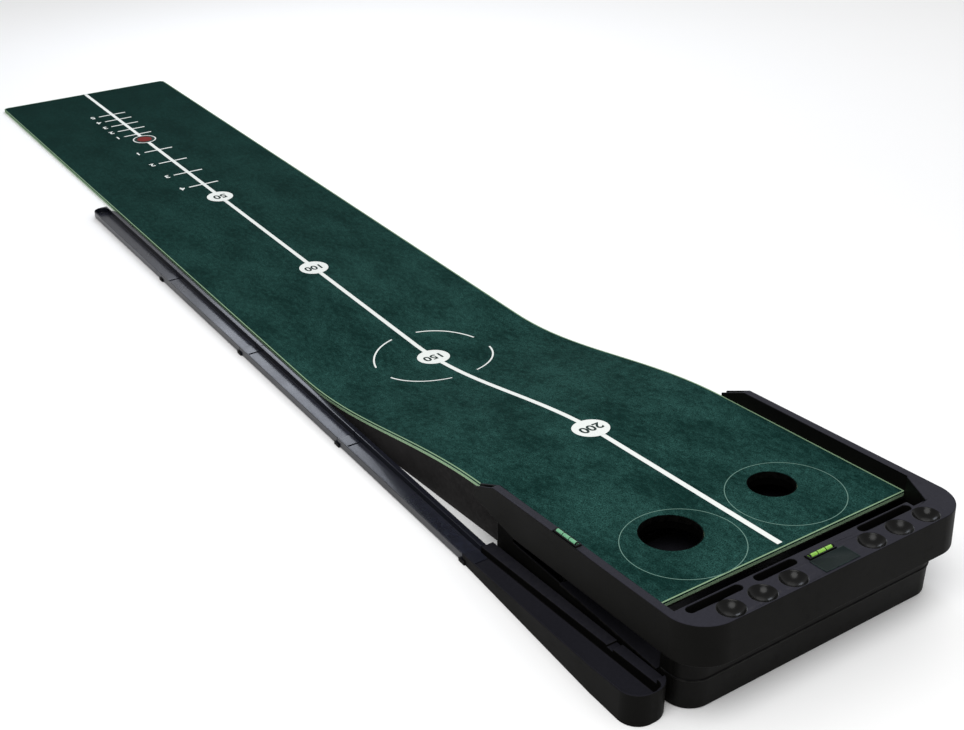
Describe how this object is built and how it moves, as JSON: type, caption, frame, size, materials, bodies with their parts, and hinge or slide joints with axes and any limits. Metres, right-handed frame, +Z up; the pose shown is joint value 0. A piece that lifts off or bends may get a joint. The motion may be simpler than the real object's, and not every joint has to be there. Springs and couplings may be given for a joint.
{
  "type": "practice putting mat",
  "caption": "Long turf putting mat that runs up a ramp to a raised tray with cups, a ball collector and a plug-together return track.",
  "frame": {"origin": "centre of the whole footprint, on the floor that the mat and its base rest on", "axes": "+X across to the right as a player's view from the cups end looks down the mat, +Y along the mat toward the player's far end, +Z up"},
  "size_m": [0.573, 3.0178, 0.1707],
  "materials": {
    "turf": "short dense velvet turf",
    "foam": "pale foam and felt backing",
    "tray_plastic": "fine moulded texture",
    "base_plastic": "fine moulded texture",
    "ramp_plastic": "satin moulded",
    "track_plastic": "satin moulded",
    "coupler_plastic": "fine moulded texture",
    "plate_plastic": "smooth blank plate",
    "level_tube": "clear tube of green liquid",
    "bubble": "clear",
    "steel": "zinc plated",
    "pad_rubber": "non-slip"
  },
  "bodies": {
    "putting_mat": {"mat_turf": "turf", "backing_on_floor": "foam", "backing_on_ramp": "foam", "upper_tray": "tray_plastic", "deck_plate": "tray_plastic", "big_cup_liner": "base_plastic", "small_cup_liner": "base_plastic", "front_level_housing": "tray_plastic", "front_level_tube": "level_tube", "side_level_housing": "tray_plastic", "side_level_tube": "level_tube", "blank_plate": "plate_plastic", "base_shell": "base_plastic", "foot_pad_1": "pad_rubber", "foot_pad_2": "pad_rubber", "foot_pad_3": "pad_rubber", "foot_pad_4": "pad_rubber", "tray_screw_1": "steel", "tray_screw_2": "steel", "tray_screw_3": "steel", "tray_screw_4": "steel", "ball_chute": "base_plastic", "ramp_shell": "ramp_plastic", "collector": "track_plastic", "track_coupler_1": "coupler_plastic"},
    "track_1": {"track_section_1": "track_plastic", "track_coupler_2": "coupler_plastic"},
    "track_2": {"track_section_2": "track_plastic", "track_coupler_3": "coupler_plastic"},
    "track_3": {"track_section_3": "track_plastic", "track_coupler_4": "coupler_plastic"},
    "track_4": {"track_section_4": "track_plastic"},
    "front_bubble": {"front_level_bubble": "bubble"},
    "side_bubble": {"side_level_bubble": "bubble"}
  },
  "joints": [
    {"name": "track_1_unplug", "type": "slide", "parent": "putting_mat", "child": "track_1", "axis": [0, 1, 0], "range_m": [0, 0.024]},
    {"name": "track_2_unplug", "type": "slide", "parent": "track_1", "child": "track_2", "axis": [0, 1, 0], "range_m": [0, 0.024]},
    {"name": "track_3_unplug", "type": "slide", "parent": "track_2", "child": "track_3", "axis": [0, 1, 0], "range_m": [0, 0.024]},
    {"name": "track_4_unplug", "type": "slide", "parent": "track_3", "child": "track_4", "axis": [0, 1, 0], "range_m": [0, 0.024]},
    {"name": "front_bubble_slide", "type": "slide", "parent": "putting_mat", "child": "front_bubble", "axis": [1, 0, 0], "range_m": [-0.015, 0.015]},
    {"name": "side_bubble_slide", "type": "slide", "parent": "putting_mat", "child": "side_bubble", "axis": [0, 0.9974, -0.0718], "range_m": [-0.017, 0.017]}
  ]
}
